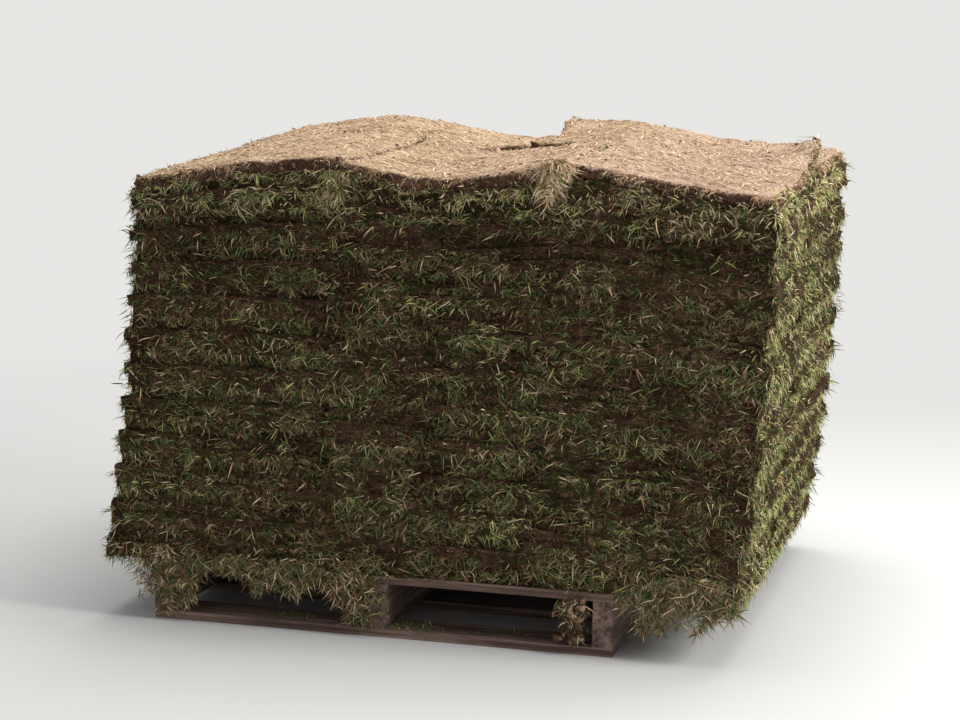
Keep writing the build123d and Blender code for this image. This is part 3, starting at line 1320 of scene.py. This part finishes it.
# %% Build crumbs
crumb_points = np.array([[1, 0, 0], [0, 1, 0], [-1, 0, 0], [0, -1, 0], [0, 0, 1], [0, 0, -1]], float)
crumb_faces = np.array(
    [[0, 1, 4], [1, 2, 4], [2, 3, 4], [3, 0, 4], [1, 0, 5], [2, 1, 5], [3, 2, 5], [0, 3, 5]]
)
crumb_uv = np.array([[0, 0.3], [1, 0.3], [1, 0.7], [0, 0.7], [0.5, 0.9], [0.5, 0.1]])


def crumb_mesh(name, places, sizes, tones):
    """One mesh of crumbs of given sizes, each turned and squashed in its own way."""
    count = len(places)
    shape = crumb_points[None] * rng.uniform(0.55, 1.25, (count, 6, 1))
    shape = shape * rng.uniform(0.6, 1.2, (count, 1, 3))
    turn = rng.uniform(0, 2 * pi, count)
    x = shape[:, :, 0] * np.cos(turn)[:, None] - shape[:, :, 2] * np.sin(turn)[:, None]
    z = shape[:, :, 0] * np.sin(turn)[:, None] + shape[:, :, 2] * np.cos(turn)[:, None]
    shape = np.stack([x, shape[:, :, 1], z], 2) * sizes[:, None, None]
    faces = (np.arange(count)[:, None, None] * 6 + crumb_faces[None]).reshape(-1, 3)
    return toned_mesh(
        name, places[:, None] + shape, faces.tolist(), tones, crumb_uv[:, 0], crumb_uv[:, 1]
    )


def add_crumbs(name, places, smallest, largest, tones):
    """A piece of crumbs at given places, most of them small."""
    sizes = (smallest + (largest - smallest) * rng.random(len(places)) ** 3) * millimetre
    mesh = crumb_mesh(name, places, sizes, tones)
    add_to_turf(name, mesh, earth_crumb, len(places), "crumbs")


# %% [markdown]
# Crumbs are placed on the cut edges of a side, or in the upright joints between two slabs of
# a layer. A joint where one slab's corner curls up is left out, because nothing holds a
# crumb there.


# %% Where crumbs cling
joint_gap, curl_step = 0.5 * millimetre, 8 * millimetre


def crumbs_by(side, count, lowest_layer, highest, farthest):
    """Places for crumbs on one side, up to a share of a slab's height and out to some mm."""
    places, out, _ = rim_places(side, count, lowest_layer)
    height = slab_thickness * rng.uniform(0.0, highest, (count, 1))
    return places - height * down + out * rng.uniform(-4, farthest, (count, 1)) * millimetre


def joints_on(side):
    """Places in the upright joints between the slabs of each layer, on one side."""
    level = np.abs(np.cross(down, side))
    found = []
    for layer in range(len(layer_names)):
        picked = np.flatnonzero(faces_side(rim_out, side) & (rim_layer == layer))
        ends = np.sort(np.stack([rim_a[picked] @ level, rim_b[picked] @ level], 1), axis=1)
        order = np.argsort(ends[:, 0])
        for before, after in zip(order, order[1:]):
            here, there = rim_a[picked[before]], rim_a[picked[after]]
            joint_step = abs((here - there) @ down)
            if ends[after, 0] - ends[before, 1] > joint_gap and joint_step < curl_step:
                corner = (here + there) / 2
                across_joint = (ends[after, 0] + ends[before, 1]) / 2
                found.append(corner * (1 - level) + level * across_joint)
    return np.array(found)


# %% [markdown]
# The damp crumbs have low tones and the ones on the top edge are half dry. The clod is given
# by its middle and spread, beside the stringer and over the front bottom board.


# %% Crumbs on the walls and edges
joint_depth, crumbs_per_joint = 5 * millimetre, 5
clod_size = 190
on_walls = np.concatenate([crumbs_by(side, 900, 0, 0.95, 1) for side in all_sides])
add_crumbs("crumbs_on_walls", on_walls, 2.0, 7.0, 0.5 * rng.random(len(on_walls)))
in_joints = np.concatenate([joints_on(side) - joint_depth * side for side in all_sides])
in_joints = np.repeat(in_joints, crumbs_per_joint, axis=0)
in_joints -= down * slab_thickness * rng.random((len(in_joints), 1))
add_crumbs("crumbs_in_joints", in_joints, 5.0, 9.0, 0.40 * rng.random(len(in_joints)))
clod_x, clod_y = rng.normal(0.262, 0.010, clod_size), rng.normal(-0.507, 0.006, clod_size)
clod = np.column_stack([clod_x, clod_y, rng.uniform(0.024, 0.104, clod_size)])
add_crumbs("clod_by_stringer", clod, 5.5, 13.0, 0.25 + 0.40 * rng.random(clod_size))
on_top_edge = np.concatenate([crumbs_by(side, 560, top_layer, 0.7, 3) for side in all_sides])
add_crumbs("crumbs_on_top_edge", on_top_edge, 2.5, 8.0, 0.25 + 0.35 * rng.random(len(on_top_edge)))

# %% [markdown]
# The dry roots of the top slabs don't stop at the cut: they hang over the edge, a fringe
# that blurs the border between the light top and the dark cut.

# %% Roots over the edge
fringes = []
for side in all_sides:
    places, out, _ = rim_places(side, 1900, top_layer)
    ragged = rng.random(len(places)) < 0.55 + 2.2 * banded_noise(places, 0.05, 0.05, 6.0)
    places, out = places[ragged], out[ragged]
    count = len(places)
    height = slab_thickness * rng.uniform(0.55, 1.02, (count, 1))
    starts = places - down * height - out * 2 * millimetre
    along = unit(np.cross(down, out))
    push, drop = rng.uniform(0.1, 0.7, (count, 1)), rng.uniform(-0.15, 0.9, (count, 1))
    heading = unit(out * push + along * rng.normal(0, 0.9, (count, 1)) + down * drop)
    bend = down * rng.uniform(0.0, 0.5, (count, 1)) - out * 0.5 * push
    lines = curved_lines(starts, heading, bend, rng.uniform(8, 24, count) * millimetre, 3)
    fringes.append((lines, flat_to(lines, out, rng.normal(0, 0.6, count))))
lines, across = (np.concatenate(part) for part in zip(*fringes))
add_strands("roots_over_edge", lines, across, 1.0, 0.8 * rng.random(len(lines)), root_fibre)

# %% [markdown]
# ## Roots on the top
#
# The dry face is a felt of straw-coloured runners and fine roots that lie every way. Each
# one is laid on the surface point by point, by a ray that looks down on the finished slabs.
# The runners are thick and arch a little off the surface, which gives them shadows.

# %% Lay things on the top
surface_height = surface_finder(top_mat)
top_half_depth = 0.52
tallest_step = 7 * millimetre


def anywhere_on_top(count):
    """Level places all over the top and a little past it."""
    return rng.uniform((cad_low.x, -top_half_depth), (cad_high.x, top_half_depth), (count, 2))


def laid_lines(count, length_range, points, lift, wander):
    """Lines that lie on the top. Those that would leave it or cross a step are left out."""
    starts = anywhere_on_top(count)
    headings = rng.uniform(0, 2 * pi, count)
    steps = rng.uniform(*length_range, count) * millimetre / (points - 1)
    lines = []
    for (x, y), heading, step in zip(starts, headings, steps):
        line = []
        arch = lift * rng.random()
        for number in range(points):
            z = surface_height(x, y)
            if z is None or (line and abs(z - line[-1][2]) > tallest_step):
                break
            line.append((x, y, z + 0.3 * millimetre + arch * sin(pi * number / (points - 1))))
            x += cos(heading) * step
            y += sin(heading) * step
            heading += rng.normal(0, wander)
        if len(line) == points:
            lines.append(line)
    return np.array(lines)


def dropped(places):
    """Level places set down on the top. Those that miss it are left out."""
    heights = [surface_height(x, y) for x, y in places]
    return np.array([(x, y, z) for (x, y), z in zip(places, heights) if z is not None])


scattered = dropped(anywhere_on_top(1300))
add_crumbs("crumbs_on_top", scattered, 1.6, 5.5, 0.40 + 0.58 * rng.random(len(scattered)))

# %% [markdown]
# Where two top slabs meet, their edges crumble together: crumbs lie along the seams, with
# dry roots and a few blades that stand up out of them.

# %% What grows in the seams
seam_margin = 40 * millimetre


def along_seams(count):
    """Level places near the edges where the top slabs meet."""
    places = []
    for low, high in slab_boxes:
        x, y = rng.uniform(low.x, high.x, count), rng.uniform(low.y, high.y, count)
        places += [np.stack([edge + 0 * y, y], 1) for edge in (low.x, high.x)]
        places += [np.stack([x, edge + 0 * x], 1) for edge in (low.y, high.y)]
    places = np.concatenate(places) + rng.normal(0, 5 * millimetre, (4 * count * len(slab_boxes), 2))
    x, y = places.T
    inside = (x > cad_low.x + seam_margin) & (x < cad_high.x - seam_margin)
    return dropped(places[inside & (abs(y) < cad_high.y - seam_margin)])


seam_crumbs = along_seams(75)
add_crumbs("crumbs_in_seams", seam_crumbs, 2.5, 8.0, 0.50 + 0.45 * rng.random(len(seam_crumbs)))
seam_strands = (("roots_in_seams", 140, 0.35, root_fibre), ("grass_in_seams", 50, 0.9, grass_blade))
for name, each, rise, material in seam_strands:
    starts = along_seams(each)
    count = len(starts)
    heading = unit(np.stack([*rng.normal(0, 1, (2, count)), rng.uniform(0, 2 * rise, count)], 1))
    lines, across = fallen_strands(starts, heading, 0.35)
    tones = rng.uniform(0.1, 0.9, count) if material is root_fibre else draw_tones(np.full(count, 0.8))
    add_strands(name, lines, across, 1.1, tones, material)

# %% [markdown]
# The runners and the fine roots are laid last. Each kind has its number, its lengths in
# millimetres, its points, how high it arches, how much it wanders and its width.

# %% Runners and roots
root_kinds = {
    "runners_on_top": (3300, (22, 75), 5, 4 * millimetre, 0.45, 1.7),
    "roots_on_top": (7800, (10, 34), 4, 2 * millimetre, 0.55, 0.8),
}
for piece_name, (count, lengths, points, lift, wander, widest) in root_kinds.items():
    lines = laid_lines(count, lengths, points, lift, wander)
    across = unit(np.cross(unit(lines[:, -1] - lines[:, 0]), up))
    add_strands(piece_name, lines, across, widest, 0.97 * rng.random(len(lines)), root_fibre)

# %% [markdown]
# ## Floor, light and camera
#
# The floor is plain and pale and takes the shadow. Far from the stack the lamps no longer
# reach it, so there it shows the background's own colour, but only to the camera: a Light
# Path node keeps that glow from lighting the stack.

# %% The floor
background_colour = (0.800, 0.795, 0.780)
floor_colour = (0.64, 0.63, 0.61)
glow_begins, glow_is_full = 1.0, 3.4
floor_size = 60


def seen_directly(tree):
    """1 where the camera sees a surface or the world, straight, mirrored or through glass."""
    path = add_node(tree, "LightPath", {}).outputs
    reflected = math_node(tree, "MAXIMUM", path["Is Glossy Ray"], path["Is Transmission Ray"])
    return math_node(tree, "MAXIMUM", path["Is Camera Ray"], reflected)


def shader_mix(tree, share, first, second, end):
    """Mixes two shaders and feeds the end node's surface."""
    mix = add_node(tree, "MixShader", {0: share, 1: first, 2: second})
    feed(tree, tree.nodes[end].inputs["Surface"], mix.outputs[0])


def build_floor_material():
    """A pale floor that fades to the background's colour away from the stack."""
    material, tree, shader = new_material("pale_floor", 0.9)
    feed(tree, shader.inputs["Base Color"], floor_colour)
    far = add_node(tree, "VectorMath", {0: object_place(tree)}, operation="LENGTH").outputs["Value"]
    share = stretched(tree, far, glow_begins, glow_is_full)
    share = math_node(tree, "MULTIPLY", share, seen_directly(tree))
    glow = add_node(tree, "Emission", {"Color": background_colour})
    shader_mix(tree, share, shader.outputs[0], glow.outputs[0], "Material Output")
    return material


bpy.ops.object.select_all(action="DESELECT")
bpy.ops.mesh.primitive_plane_add(size=floor_size, location=(0, 0, 0))
floor = bpy.context.object
floor.name = "floor"
floor.data.materials.append(build_floor_material())
floor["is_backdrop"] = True
print(floor.name, "is", floor_size, "m wide and glows from", glow_begins, "m outwards")


# %% [markdown]
# A large soft lamp above and a second one from the right stand in for an overcast noon sky.


# %% The lamps
def soft_lamp(name, place, aim, size, power):
    """A square area lamp at a place that points at aim."""
    lamp = bpy.data.lights.new(name, "AREA")
    lamp.size, lamp.energy = size, power
    holder = new_object(name, lamp)
    holder.location = place
    holder.rotation_euler = (Vector(aim) - Vector(place)).to_track_quat("-Z", "Y").to_euler()


middle_of_stack = (0, 0, 0.5)
soft_lamp("sky_lamp", (0.3, 0.8, 4.2), middle_of_stack, 3.5, 172)
soft_lamp("side_lamp", (3.6, -0.6, 2.2), middle_of_stack, 1.6, 150)
print("lamps:", ", ".join(lamp.name for lamp in bpy.data.lights))

# %% [markdown]
# The world lights the stack with a faint bluish sky, and shows the camera the background.


# %% The world
sky_colour, sky_strength = (0.95, 0.97, 1.0), 0.42
world = bpy.data.worlds.new("pale_world")
bpy.context.scene.world = world
world.use_nodes = True
world_tree = world.node_tree
behind = world_tree.nodes["Background"]
feed(world_tree, behind.inputs["Color"], background_colour)
ambient = add_node(world_tree, "Background", {"Color": sky_colour, "Strength": sky_strength})
seen = seen_directly(world_tree)
shader_mix(world_tree, seen, ambient.outputs[0], behind.outputs[0], "World Output")
bpy.context.scene.view_settings.view_transform = "Standard"
print("world", world.name, "lights the stack at", sky_strength)

# %% [markdown]
# The camera stands a little right of the stack at chest height, and its long lens fills
# the picture with this one stack.

# %% The camera
camera_place = Vector((1.199, -4.705, 1.223))
camera_aim = Vector((0.075, -0.512, 0.547))
camera_roll = radians(0.93)
camera_lens = 88.9
camera_data = bpy.data.cameras.new("camera")
camera_data.lens = camera_lens
camera = new_object("camera", camera_data)
camera.location = camera_place
look = (camera_aim - camera_place).to_track_quat("-Z", "Y")
camera.rotation_mode = "QUATERNION"
camera.rotation_quaternion = look @ Quaternion((0, 0, 1), camera_roll)
bpy.context.scene.camera = camera
camera_away = (camera_aim - camera_place).length
print("the camera is", round(camera_away, 2), "m away and its lens is", camera_lens, "mm")

# %% [markdown]
# ## The size, and the end
#
# The box of all shown pieces is measured and their triangles are counted. The finish
# may stand a little proud of the CAD box, and no more.

# %% The box and the triangles
low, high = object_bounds()
total = sum(triangles(piece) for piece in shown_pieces())
print("all pieces:", total, "triangles")
